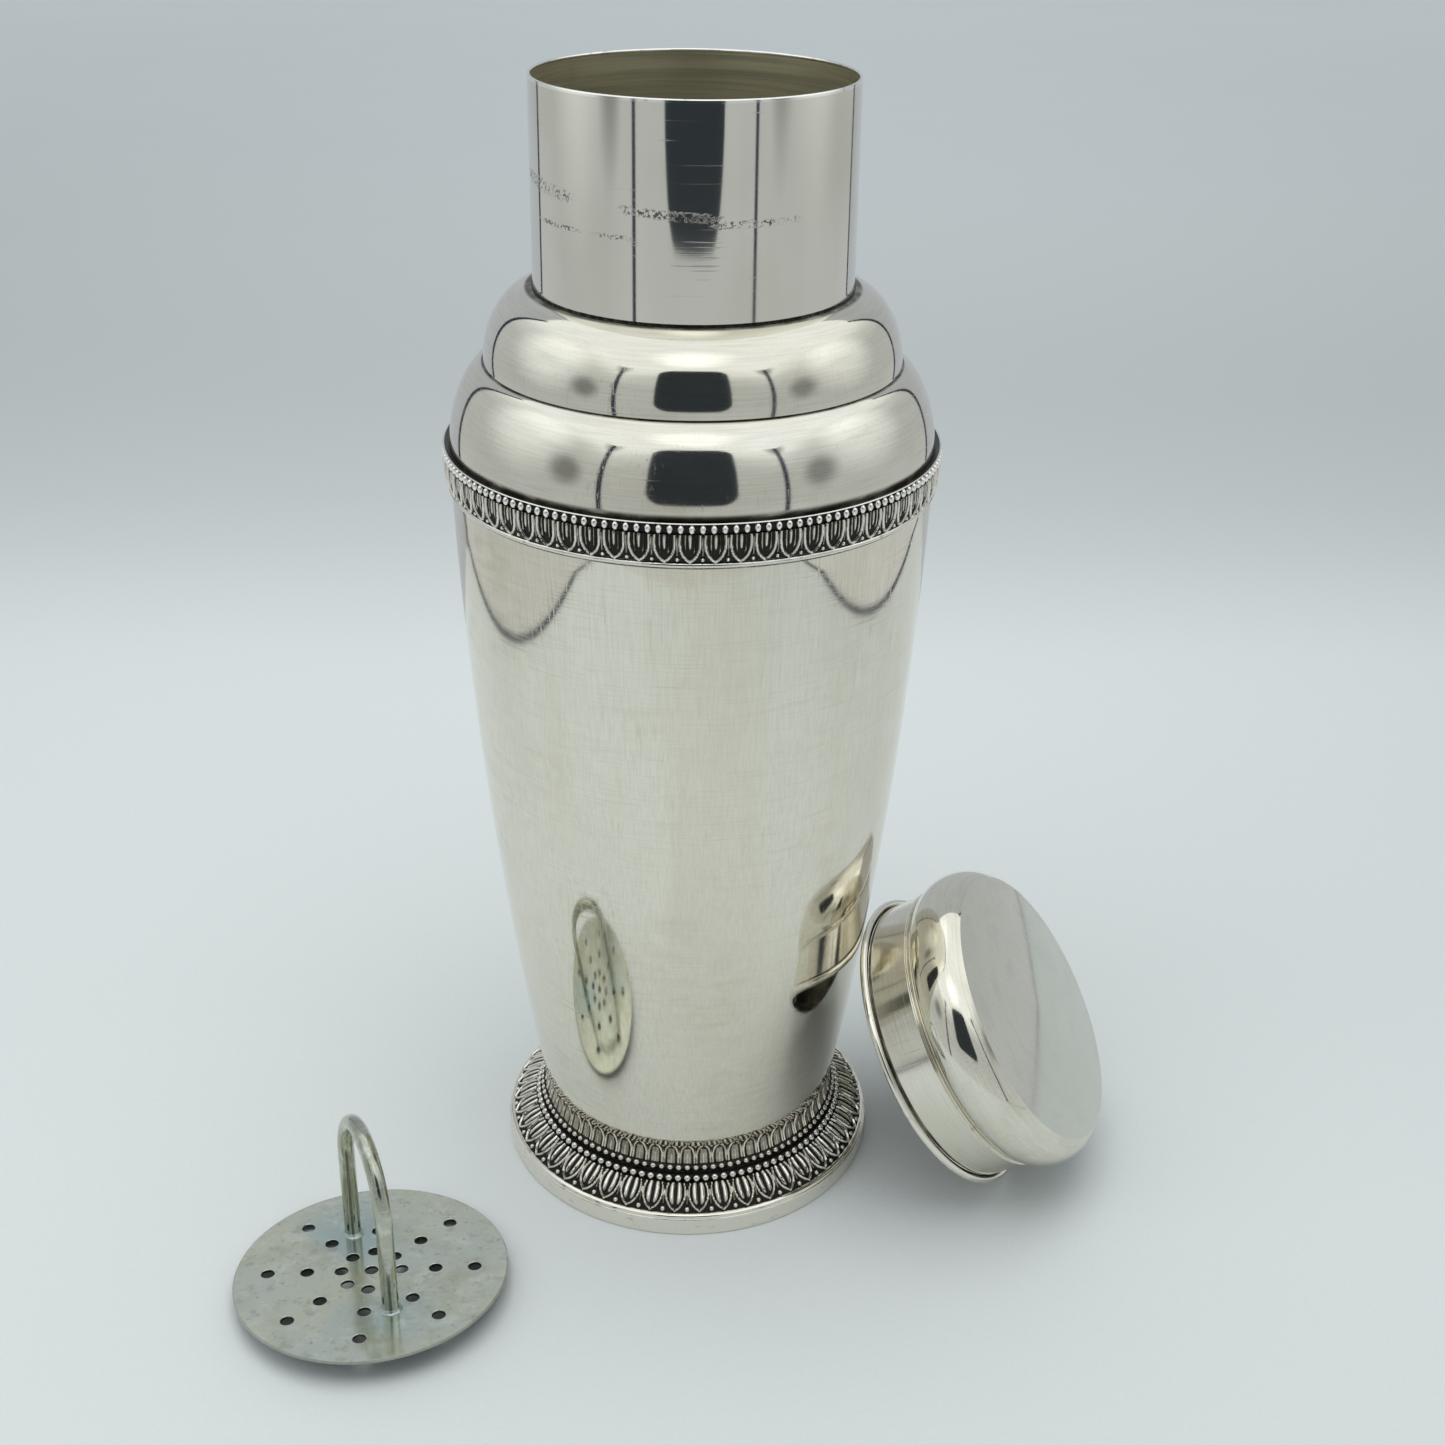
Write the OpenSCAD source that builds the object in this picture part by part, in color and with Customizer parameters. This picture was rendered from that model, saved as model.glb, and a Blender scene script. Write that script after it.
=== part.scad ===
// Silver-plated cocktail shaker set, laid out: the footed shaker stands on the origin, its
// push-on cap leans against its right side, and its lift-out strainer lies in front, to the left.
// Origin: centre of the foot's underside. +Z up the shaker's axis, -Y towards the front.
// Millimetres.

/* [Shaker body] */
// Outside diameter at the foot collar
body_bottom_d = 69.2; // [66:0.1:72]
// Outside diameter under the shoulder
body_top_d = 99; // [96:0.1:102]
// Height of the body's lower edge above the table
body_bottom_z = 18; // [17:0.1:20]
// Height of the seam between body and shoulder
body_top_z = 174.6; // [165:0.1:185]
// How far the side bows out from a straight cone
body_bow = 2.55; // [1.5:0.05:3.5]
// Sheet thickness
wall = 1; // [0.8:0.1:1.3]

/* [Shoulder and neck] */
// Diameter of the upper bulge at its foot
upper_bulge_d = 84.1; // [82:0.1:88]
// Height of the crease between the two bulges
crease_z = 191.4; // [188:0.1:196]
// Height of the shoulder's top, where the neck starts
shoulder_z = 205.85; // [202:0.05:210]
// Roundness of the lower bulge: 2 is an ellipse, less is flatter
lower_roundness = 1.8; // [1.5:0.1:2.5]
// Roundness of the upper bulge
upper_roundness = 2; // [1.5:0.1:2.5]
// Outside diameter of the neck
neck_d = 63.4; // [60:0.1:65]
// Sheet thickness of the neck
neck_wall = 0.7; // [0.5:0.1:1]
// Height of the neck's lip, the top of the shaker
shaker_h = 246; // [235:0.1:255]
// Width of the ledge that the strainer sits on
seat_w = 3.5; // [2:0.1:4]

/* [Band] */
// Height of the whole ornamental band under the shoulder seam
band_h = 8.8; // [8:0.1:10]
// How far the band stands out at its top
band_proud = 1.7; // [1.2:0.1:2.2]
// Thickness of the beaded wire
band_bead_d = 1.9; // [1.6:0.1:2.2]

/* [Foot] */
// Outside diameter of the foot
foot_d = 86.9; // [84:0.1:90]
// Height of the foot's plain edge
foot_edge_h = 5.3; // [4.5:0.1:6]
// Height of the groove between the two beaded wires
foot_groove_z = 11.6; // [11:0.1:12.8]
// Thickness of the base plate
base_t = 1; // [0.8:0.1:1.5]

/* [Cap] */
// Outside diameter of the cap's rolled rim
cap_rim_d = 69.6; // [68:0.1:72]
// Outside diameter of the cap's straight collar
cap_collar_d = 66.1; // [65.8:0.1:67]
// Largest diameter of the cap's bulge
cap_bulge_d = 70.6; // [69:0.1:74]
// Height of the collar, from the rim to the crease
cap_collar_h = 12.1; // [11:0.1:14]
// Height of the cap's shoulder, where its top plate starts
cap_shoulder_h = 25.1; // [23:0.1:28]
// Rise of the domed top plate
cap_dome_h = 1.6; // [0.8:0.1:3]
// Gap between the neck and the cap's collar
cap_gap = 0.4; // [0.2:0.05:0.6]
// Centre of the rim where the cap lies
cap_pos = [59.95, -7.75, 28.35];
// Lean of the cap's axis from upright
cap_lean = 55.3; // [54:0.1:56]
// Direction the cap's top faces, from +X
cap_turn = -17; // [-20:0.5:-14]

/* [Strainer] */
// Diameter of the strainer disc
strainer_d = 59.1; // [56:0.1:60]
// Thickness of the strainer disc
strainer_t = 0.8; // [0.6:0.1:1.2]
// Diameter of each drain hole
hole_d = 2.9; // [2.4:0.1:3.4]
// Radii of the three rings of holes
hole_rings = [6.5, 13.9, 22.4];
// Holes in each ring
holes_per_ring = 8; // [6:1:10]
// Turn of the hole pattern about the disc's centre
hole_turn = 2.6; // [-22:0.1:22]
// Wire diameter of the bail
bail_wire_d = 3.6; // [3:0.1:4]
// Distance between the centres of the bail's legs
bail_span = 29; // [22:0.1:31]
// Straight height of the bail's legs above the disc
bail_leg_h = 20.9; // [18:0.1:24]
// Direction of the bail's far leg, from +X
bail_turn = 115.1; // [100:0.1:130]
// Wire tails under the disc: far one, then near one
bail_tails = [1.5, 4.1];
// Centre of the disc's top face where the strainer lies
strainer_pos = [-68.7, -58.8, 3.8];
// Tilt of the disc, near edge up
strainer_tilt = 5.6; // [5:0.1:6]
// Direction the disc slopes down towards, from +X
strainer_slope = 99.3; // [90:0.1:110]

/* [Hidden] */
$fn = 120;
side_steps = 18;
bulge_steps = 10;

body_bottom_r = body_bottom_d / 2;
body_top_r = body_top_d / 2;
bevel = 0.5;
sit_r = body_bottom_r - 1.2;         // plain collar seat below the body's lower edge
band_z = body_top_z - band_h;

crease_r = upper_bulge_d / 2;
crease_ledge = 0.27;                 // how far the upper bulge overhangs the crease
neck_r = neck_d / 2;
neck_in_r = neck_r - neck_wall;
seam_h = 0.5;
seam_r = neck_r + 1.05;
neck_bottom_z = shoulder_z + seam_h;
shoulder_in_r = neck_r + 0.5;        // opening in the shoulder, which the seat fills

wire_h = 1.1;                        // plain wire under the band
top_wire_h = 0.5;                    // thin wire over the band's beads
bead_bottom_z = body_top_z - band_bead_d;
leaf_bottom_z = band_z + wire_h;

foot_r = foot_d / 2;
rim_in_r = foot_r - 2.45;
small_bead_d = 1.6;
large_bead_d = 1.9;
large_bead_z = foot_groove_z - 1.5;
large_bead_in_r = foot_r - 8.25;
leaf_ring_in_r = large_bead_in_r + 1.75;

cap_rim_r = cap_rim_d / 2;
cap_collar_r = cap_collar_d / 2;
cap_in_r = neck_r + cap_gap;
cap_bulge_r = cap_bulge_d / 2;
cap_bulge_mid_h = 17.2;
cap_roll_r = 0.85;
cap_wire_r = 0.45;
cap_top_r = 31.6;
cap_crease_r = cap_collar_r - 0.1;

tail_r = bail_wire_d / 2;
solder_w = 1;
solder_h = 0.8;

// Points of a shallow arc from a to b, bowed out by bow to the right of the way from b to a.
function bowed(a, b, bow, steps) =
    let (d = b - a, side = [d[1], -d[0]] / norm(d))
    [for (i = [0 : steps]) a + d * i / steps + side * bow * 4 * (i / steps) * (1 - i / steps)];

// Points of a quarter of a superellipse about centre, from its side towards its top, stopping at
// radius end_r. size is its half width and half height.
function bulge_arc(centre, size, roundness, end_r, steps) =
    let (end = acos(pow((end_r - centre[0]) / size[0], roundness / 2)))
    [for (i = [0 : steps]) let (t = end * i / steps)
        centre + [size[0] * pow(cos(t), 2 / roundness), size[1] * pow(sin(t), 2 / roundness)]];

function reversed(list) = [for (i = [len(list) - 1 : -1 : 0]) list[i]];

function shifted(list, by) = [for (p = list) p + by];

module silver() { color([0.80, 0.79, 0.75]) children(); }
module bright() { color([0.92, 0.91, 0.88]) children(); }
module worked() { color([0.55, 0.54, 0.50]) children(); }
module dark() { color([0.20, 0.19, 0.17]) children(); }
module tinned() { color([0.66, 0.66, 0.56]) children(); }

// Turned ring from a half section given as points.
module turned(points) { rotate_extrude() polygon(points); }

// Wire ring soldered outside a wall: flat inside at r, round outside, d high, resting on z.
module wire_ring(r, z, d, proud) {
    rotate_extrude() intersection() {
        union() {
            translate([r + proud - d / 2, z + d / 2]) circle(d = d);
            translate([r, z]) square([proud - d / 2, d]);
        }
        translate([r, z]) square([proud + d, d]);
    }
}

module in_cap_frame() {
    translate(cap_pos) rotate([0, 0, cap_turn]) rotate([0, cap_lean, 0]) children();
}

module in_strainer_frame() {
    translate(strainer_pos)
        rotate([0, 0, strainer_slope]) rotate([0, strainer_tilt, 0]) rotate([0, 0, -strainer_slope])
            children();
}

module base_plate() {
    silver() cylinder(h = base_t, r = rim_in_r);
}

module foot_rim() {
    bright() turned([
        [rim_in_r, 0], [foot_r - bevel / 2, 0], [foot_r, bevel], [foot_r, foot_edge_h - 1.3],
        [foot_r - 0.35, foot_edge_h - 0.5], [foot_r - 0.9, foot_edge_h], [rim_in_r, foot_edge_h]
    ]);
}

module foot_skirt() {
    silver() turned([
        [sit_r - 4.4, foot_groove_z - wall], [large_bead_in_r - wall, foot_groove_z - wall],
        [large_bead_in_r - wall, large_bead_z - 1.6], [rim_in_r - wall, foot_edge_h - 0.1],
        [rim_in_r - wall, foot_edge_h - 1.1], [rim_in_r, foot_edge_h - 1.1],
        [rim_in_r, foot_edge_h + 0.9], [leaf_ring_in_r, large_bead_z - large_bead_d / 2],
        [large_bead_in_r, large_bead_z - large_bead_d / 2], [large_bead_in_r, foot_groove_z],
        [sit_r - 4.4, foot_groove_z]
    ]);
}

module foot_leaf_ring() {
    worked() turned([
        [rim_in_r, foot_edge_h], [foot_r - 1, foot_edge_h], [foot_r - 0.95, foot_edge_h + 0.4],
        [foot_r - 1.3, foot_edge_h + 1.1], [leaf_ring_in_r + 0.2, large_bead_z - 0.35],
        [leaf_ring_in_r, large_bead_z - large_bead_d / 2], [rim_in_r, foot_edge_h + 0.9]
    ]);
}

module foot_large_beads() {
    worked() wire_ring(large_bead_in_r, large_bead_z - large_bead_d / 2, large_bead_d, 1.72);
}

module foot_small_beads() {
    worked() wire_ring(sit_r, foot_groove_z, small_bead_d, 2.45);
}

module foot_leaf_collar() {
    worked() turned([
        [sit_r, foot_groove_z + small_bead_d], [sit_r + 1.35, foot_groove_z + small_bead_d],
        [sit_r + 0.75, foot_groove_z + 2.5], [sit_r + 0.5, body_bottom_z - 2.2],
        [sit_r + 0.55, body_bottom_z - 1], [sit_r + 0.8, body_bottom_z], [sit_r, body_bottom_z]
    ]);
}

module body_shell() {
    side = bowed([body_bottom_r, body_bottom_z + bevel], [body_top_r, band_z - 0.8],
                 body_bow, side_steps);
    silver() turned(concat(
        [[0, foot_groove_z], [sit_r, foot_groove_z], [sit_r, body_bottom_z],
         [body_bottom_r - bevel, body_bottom_z]],
        side,
        [[body_top_r, body_top_z], [body_top_r - wall, body_top_z]],
        reversed(shifted(side, [-wall, 0])),
        [[sit_r - wall, body_bottom_z - wall], [sit_r - wall, foot_groove_z + 2.2],
         [sit_r - 2.2, foot_groove_z + wall], [0, foot_groove_z + wall]]
    ));
}

module band_fillet_wire() {
    bright() wire_ring(body_top_r, band_z, wire_h, 0.8);
}

module band_leaf_strip() {
    worked() turned([
        [body_top_r, leaf_bottom_z], [body_top_r + 0.7, leaf_bottom_z],
        [body_top_r + 1.15, leaf_bottom_z + 1.2], [body_top_r + 1.5, bead_bottom_z - 1.8],
        [body_top_r + 1.45, bead_bottom_z], [body_top_r, bead_bottom_z]
    ]);
}

module band_beads() {
    worked() wire_ring(body_top_r, bead_bottom_z, band_bead_d, band_proud);
}

module band_top_wire() {
    bright() turned([
        [body_top_r, body_top_z], [body_top_r + band_proud - 0.3, body_top_z],
        [body_top_r + band_proud - 0.2, body_top_z + top_wire_h / 2],
        [body_top_r + band_proud - 0.4, body_top_z + top_wire_h],
        [body_top_r + 0.6, body_top_z + top_wire_h]
    ]);
}

module lower_shoulder() {
    centre = [crease_r - crease_ledge - 0.6, body_top_z];
    size = [body_top_r, crease_z + 0.04] - centre;
    outer = bulge_arc(centre, size, lower_roundness, crease_r - crease_ledge, bulge_steps);
    inner = bulge_arc(centre, size - [wall, wall], lower_roundness, crease_r - crease_ledge,
                      bulge_steps);
    silver() turned(concat(outer, [[crease_r - wall, crease_z], [crease_r - wall, crease_z - wall]],
                           reversed(inner)));
}

module upper_shoulder() {
    centre = [neck_r - 0.26, crease_z];
    size = [crease_r, shoulder_z + 0.1] - centre;
    outer = bulge_arc(centre, size, upper_roundness, seam_r, bulge_steps);
    inner = bulge_arc(centre, size - [wall, wall], upper_roundness, shoulder_in_r, bulge_steps);
    silver() turned(concat(outer, [[shoulder_in_r, shoulder_z]], reversed(inner)));
}

module neck_seam() {
    dark() difference() {
        translate([0, 0, shoulder_z]) cylinder(h = seam_h, r = seam_r);
        translate([0, 0, shoulder_z - 1]) cylinder(h = seam_h + 2, r = neck_in_r);
    }
}

module neck_tube() {
    silver() turned([
        [neck_in_r, neck_bottom_z], [neck_r, neck_bottom_z], [neck_r, shaker_h - neck_wall],
        [neck_in_r, shaker_h - neck_wall]
    ]);
}

module neck_lip() {
    bright() rotate_extrude() {
        translate([neck_r - neck_wall / 2, shaker_h - neck_wall / 2]) circle(d = neck_wall);
        translate([neck_in_r, shaker_h - neck_wall]) square([neck_wall, neck_wall / 2]);
    }
}

module strainer_seat() {
    silver() difference() {
        translate([0, 0, shoulder_z - wall]) cylinder(h = wall, r = shoulder_in_r);
        translate([0, 0, shoulder_z - wall - 1]) cylinder(h = wall + 2, r = neck_in_r - seat_w);
    }
}

module cap_rim() {
    bright() in_cap_frame() rotate_extrude() {
        translate([cap_rim_r - cap_roll_r, cap_roll_r]) circle(r = cap_roll_r);
        translate([cap_in_r, 0]) square([cap_rim_r - cap_roll_r - cap_in_r, 2 * cap_roll_r]);
    }
}

module cap_collar() {
    silver() in_cap_frame() difference() {
        translate([0, 0, 2 * cap_roll_r])
            cylinder(h = cap_collar_h - 2 * cap_roll_r, r = cap_collar_r);
        cylinder(h = cap_collar_h + 1, r = cap_in_r);
    }
}

module cap_crease_wire() {
    bright() in_cap_frame() rotate_extrude() intersection() {
        translate([cap_collar_r, cap_collar_h - cap_wire_r]) circle(r = cap_wire_r);
        translate([cap_collar_r, 0]) square([1, cap_collar_h]);
    }
}

module cap_bulge() {
    lower = bowed([cap_crease_r, cap_collar_h], [cap_bulge_r, cap_bulge_mid_h], 0.55, bulge_steps);
    upper = bowed([cap_bulge_r, cap_bulge_mid_h], [cap_top_r, cap_shoulder_h], 1.15, bulge_steps);
    outer = concat(lower, [for (i = [1 : bulge_steps]) upper[i]]);
    silver() in_cap_frame()
        turned(concat([[cap_in_r, cap_collar_h]], outer, [[cap_top_r - wall, cap_shoulder_h]],
                      [for (i = [bulge_steps - 2 : -1 : 1]) upper[i] - [wall * 1.1, 0]],
                      [for (i = [bulge_steps : -1 : 4]) lower[i] - [wall * 1.1, 0]]));
}

module cap_top() {
    outer = bowed([cap_top_r, cap_shoulder_h], [0, cap_shoulder_h + cap_dome_h], 0.35, bulge_steps);
    silver() in_cap_frame() turned(concat(
        outer, [[0, cap_shoulder_h + cap_dome_h - wall], [cap_top_r - 8, cap_shoulder_h],
                [cap_top_r - wall, cap_shoulder_h]]));
}

module strainer_disc() {
    tinned() in_strainer_frame() translate([0, 0, -strainer_t]) difference() {
        cylinder(h = strainer_t, d = strainer_d);
        for (ring = hole_rings, i = [0 : holes_per_ring - 1])
            rotate([0, 0, hole_turn + i * 360 / holes_per_ring]) translate([ring, 0, -1])
                cylinder(h = strainer_t + 2, d = hole_d, $fn = 32);
        translate([0, 0, -1]) cylinder(h = strainer_t + 2, d = hole_d, $fn = 32);
        for (side = [-1, 1])
            rotate([0, 0, bail_turn]) translate([side * bail_span / 2, 0, -1])
                cylinder(h = strainer_t + 2, r = tail_r);
    }
}

module strainer_bail() {
    half = bail_span / 2;
    tinned() in_strainer_frame() rotate([0, 0, bail_turn]) {
        translate([half, 0, -strainer_t - bail_tails[0]])
            cylinder(h = bail_leg_h + strainer_t + bail_tails[0], r = tail_r);
        translate([-half, 0, -strainer_t - bail_tails[1]])
            cylinder(h = bail_leg_h + strainer_t + bail_tails[1], r = tail_r);
        translate([0, 0, bail_leg_h]) rotate([90, 0, 0])
            rotate_extrude(angle = 180) translate([half, 0]) circle(r = tail_r);
    }
}

module solder(side) {
    tinned() in_strainer_frame() rotate([0, 0, bail_turn])
        translate([side * bail_span / 2, 0, 0])
            turned([[tail_r, 0], [tail_r + solder_w, 0], [tail_r + solder_w * 0.45, solder_h * 0.4],
                    [tail_r, solder_h]]);
}

module far_solder() { solder(1); }

module near_solder() { solder(-1); }

base_plate();
foot_rim();
foot_skirt();
foot_leaf_ring();
foot_large_beads();
foot_small_beads();
foot_leaf_collar();
body_shell();
band_fillet_wire();
band_leaf_strip();
band_beads();
band_top_wire();
lower_shoulder();
upper_shoulder();
neck_seam();
neck_tube();
neck_lip();
strainer_seat();
cap_rim();
cap_collar();
cap_crease_wire();
cap_bulge();
cap_top();
strainer_disc();
strainer_bail();
far_solder();
near_solder();
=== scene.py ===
"""Looks of the laid-out cocktail shaker set: silver-plated shaker, its cap and its strainer."""

import math

import bmesh
import bpy
import numpy as np
from mathutils import Matrix, Vector


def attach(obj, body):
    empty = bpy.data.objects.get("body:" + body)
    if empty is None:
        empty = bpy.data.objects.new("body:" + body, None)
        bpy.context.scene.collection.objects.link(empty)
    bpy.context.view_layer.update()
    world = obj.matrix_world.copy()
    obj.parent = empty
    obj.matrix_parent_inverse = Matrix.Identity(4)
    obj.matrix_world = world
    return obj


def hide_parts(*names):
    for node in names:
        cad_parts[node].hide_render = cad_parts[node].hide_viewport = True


MM = 0.001
TURNS, FINE_TURNS = 288, 384      # steps round a turned piece, and round the largest ones
SHARP = math.radians(32)

# Where the cap and the strainer lie, as in the CAD: centre, lean or tilt, and direction. Then how
# the bail and the holes are turned on the strainer, with their sizes in mm.
CAP_AT, CAP_LEAN, CAP_TURN = Vector((59.95, -7.75, 28.35)) * MM, 55.3, -17.0
STRAINER_AT, STRAINER_TILT, STRAINER_SLOPE = Vector((-68.7, -58.8, 3.8)) * MM, 5.6, 99.3
BAIL_TURN, BAIL_HALF, HOLE_TURN = 115.1, 14.5, 2.6
HOLE_RINGS, HOLE_COUNT, HOLE_R = (6.5, 13.9, 22.4), 8, 1.45

# Camera: focal length in picture widths, place, and aim in degrees.
FOCAL, EYE = 1.32028, Vector((0.0, -0.37538, 0.30097))
PITCH, YAW, ROLL = 27.154, 1.079, 0.902

# The light tent that the silver reflects, in m: its corners, height, seams and front opening.
TENT = {"front_left": (-0.30, -0.355), "front_right": (0.33, -0.375),
        "back_right": (0.33, 0.33), "back_left": (-0.30, 0.265)}
TENT_H, TENT_SEAM, SEAM_OFF = 0.515, 0.013, 0.003
HEMS = {"left": ((-0.295, -0.35), (-0.295, 0.26)), "right": ((0.322, -0.36), (0.325, 0.32))}
HEM_HALF, HEM_Z = 0.004, 0.003
SLIT_HALF, SLIT_LOW, SLIT_HIGH, SLIT_CORNER, SLIT_Y = 0.125, 0.145, 0.47, 0.05, -0.358

# How bright its cloth is by height, and the zones that change it: centre, radius and share.
CLOTH = (0.96, 1.0, 1.0)
RISING = ((0, 0.66), (0.08, 0.60), (0.15, 0.56), (0.3, 0.60), (0.38, 0.78), (0.45, 1.05), (TENT_H, 1.15))
CORNER_ZONES = (((-0.30, -0.355, 0.49), 0.07, 0.5), ((0.33, -0.375, 0.49), 0.08, 0.4))
SIDE_ZONES = (((-0.30, -0.205, 0.232), 0.085, 0.45), ((0.33, -0.215, 0.24), 0.095, 0.5),
              ((-0.30, -0.03, 0.32), 0.19, 1.65), ((0.33, -0.02, 0.32), 0.19, 1.65))
ROOF_ZONES = (((0, -0.25, TENT_H), 0.16, 1.42), ((0, 0.15, TENT_H), 0.18, 1.28))

# The table's colour, and its shade by depth: place along y and share.
TABLE_TONE, TABLE_REACH = (0.72, 0.772, 0.775), 3.2
TABLE_SHADE = ((-0.45, 0.84), (-0.25, 0.818), (-0.09, 0.808), (-0.03, 0.818), (0.05, 0.818),
               (0.1, 0.837), (0.16, 0.857), (0.23, 0.888), (0.27, 0.899), (0.32, 0.857), (0.37, 0.8),
               (0.43, 0.762), (0.5, 0.757), (0.58, 0.761), (0.67, 0.79), (0.77, 0.833), (0.9, 0.885),
               (1.13, 0.957), (1.45, 1.032), (2.14, 1.114))

# Soft lamps: place, width and power.
LAMPS = {"roof_light": ((0, -0.05, 0.75), 0.7, 3.6), "left_light": ((-0.6, -0.3, 0.55), 0.5, 1.0)}

# Proportions that the CAD's boxes don't give, in mm.
BODY_BOW, LEDGE, COLLAR_STEP, SEAM_W, WALL = 2.55, 0.27, 1.2, 0.32, 1.0
CAP_WIDEST, CAP_WALL = 5.1, 1.1


# ---- measuring the frame

def turned(lean=0.0, direction=0.0):
    """Rotation that leans +Z by lean degrees towards direction, in degrees from +X."""
    z = Matrix.Rotation(math.radians(direction), 4, "Z")
    return z @ Matrix.Rotation(math.radians(lean), 4, "Y")


CAP = Matrix.Translation(CAP_AT) @ turned(CAP_LEAN, CAP_TURN)
STRAINER = (Matrix.Translation(STRAINER_AT) @ turned(STRAINER_TILT, STRAINER_SLOPE)
            @ Matrix.Rotation(math.radians(-STRAINER_SLOPE), 4, "Z"))
UPRIGHT = Matrix.Identity(4)


def node_points(node, matrix=UPRIGHT):
    """A CAD node's vertices as seen from matrix, in mm."""
    back = matrix.inverted()
    return np.array([back @ v.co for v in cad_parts[node].data.vertices]) / MM


def ring_size(node, matrix=UPRIGHT):
    """Smallest and largest radius, lowest and highest point of a CAD node about an axis, in mm."""
    co = node_points(node, matrix)
    r = np.hypot(co[:, 0], co[:, 1])
    return r.min(), r.max(), co[:, 2].min(), co[:, 2].max()


# ---- mesh building

def bow(a, b, rise, steps=14):
    """Points of a shallow arc from a to b that bows out by rise."""
    a, b = np.array(a, float), np.array(b, float)
    d = b - a
    side = np.array([d[1], -d[0]]) / np.hypot(*d)
    return [tuple(a + d * t + side * rise * 4 * t * (1 - t)) for t in np.linspace(0, 1, steps + 1)]


def block(inner, outer, low, top):
    """The outline of a plain ring or disc."""
    return [(inner, low), (outer, low), (outer, top), (inner, top)]


def bulge(centre, size, roundness, end_r, steps=40):
    """Points of a quarter superellipse from its side towards its top, stopping at radius end_r."""
    end = math.acos(((end_r - centre[0]) / size[0]) ** (roundness / 2))
    return [(centre[0] + size[0] * math.cos(t) ** (2 / roundness),
             centre[1] + size[1] * math.sin(t) ** (2 / roundness)) for t in np.linspace(0, end, steps + 1)]


def rounded(points, radius, steps=4):
    """A closed outline with its corners rounded by at most radius."""
    out, n = [], len(points)
    for i in range(n):
        before, here, after = (np.array(points[(i + k) % n], float) for k in (-1, 0, 1))
        a, b = before - here, after - here
        la, lb = np.hypot(*a), np.hypot(*b)
        bend = math.acos(np.clip(-(a @ b) / (la * lb), -1, 1))
        if bend < 0.25 or here[0] < 1e-6:
            out.append(tuple(here))
            continue
        cut = min(radius, 0.45 * la, 0.45 * lb)
        start, end = here + a / la * cut, here + b / lb * cut
        for t in np.linspace(0, 1, steps + 1):
            out.append(tuple((1 - t) ** 2 * start + 2 * t * (1 - t) * here + t * t * end))
    return out


def lathe(points, turns=TURNS):
    """Vertices and faces of a closed half section turned about Z. Points are (r, z) in mm."""
    verts, rings = [], []
    angles = np.arange(turns) * 2 * math.pi / turns
    for r, z in points:
        if r < 1e-6:
            rings.append([len(verts)] * turns)
            verts.append((0.0, 0.0, z * MM))
        else:
            rings.append(list(range(len(verts), len(verts) + turns)))
            verts.extend(zip(r * MM * np.cos(angles), r * MM * np.sin(angles), [z * MM] * turns))
    faces = []
    for low, high in zip(rings, rings[1:] + rings[:1]):
        for i in range(turns):
            j = (i + 1) % turns
            corners = list(dict.fromkeys((low[i], low[j], high[j], high[i])))
            if len(corners) > 2:
                faces.append(corners)
    return verts, faces


def outward_mesh(name, verts, faces):
    """A mesh whose faces all look outwards."""
    mesh = bpy.data.meshes.new(name)
    mesh.from_pydata([tuple(v) for v in verts], [], faces)
    fix = bmesh.new()
    fix.from_mesh(mesh)
    bmesh.ops.recalc_face_normals(fix, faces=fix.faces)
    fix.to_mesh(mesh)
    fix.free()
    return mesh


def in_scene(name, data):
    """A new object in the scene."""
    thing = bpy.data.objects.new(name, data)
    bpy.context.scene.collection.objects.link(thing)
    return thing


def make_piece(node, shape, material, body="shaker", matrix=UPRIGHT):
    """A smooth-shaded mesh piece that rides on a CAD body and stands for a CAD node.

    shape is its vertices, its faces and, for worked silver, the relief of each vertex, which on bead rows
    also holds painted light from above.
    Its materials find their place from own_place, the points before matrix moves them.
    """
    verts, faces, *relief = shape
    mesh = outward_mesh(node + "_skin", verts, faces)
    mesh.attributes.new("own_place", "FLOAT_VECTOR", "POINT").data.foreach_set(
        "vector", np.array([tuple(v) for v in verts], np.float32).ravel())
    if relief:
        mesh.attributes.new("relief", "FLOAT", "POINT").data.foreach_set(
            "value", np.asarray(relief[0], np.float32))
    mesh.transform(matrix)
    mesh.shade_smooth()
    mesh.set_sharp_from_angle(angle=SHARP)
    mesh.materials.append(material)
    piece = in_scene(node + "_skin", mesh)
    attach(piece, body)
    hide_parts(node)
    return piece


def turn_piece(node, points, material, body="shaker", matrix=UPRIGHT, turns=TURNS):
    """A turned piece that stands for a CAD node."""
    return make_piece(node, lathe(points, turns), material, body, matrix)


# ---- ornament

def window(v, start, end, soft=0.08):
    """1 between start and end, falling smoothly to 0 over soft."""
    rise = np.clip((v - start) / soft, 0, 1)
    fall = np.clip((end - v) / soft, 0, 1)
    return rise * rise * (3 - 2 * rise) * fall * fall * (3 - 2 * fall)


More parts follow.
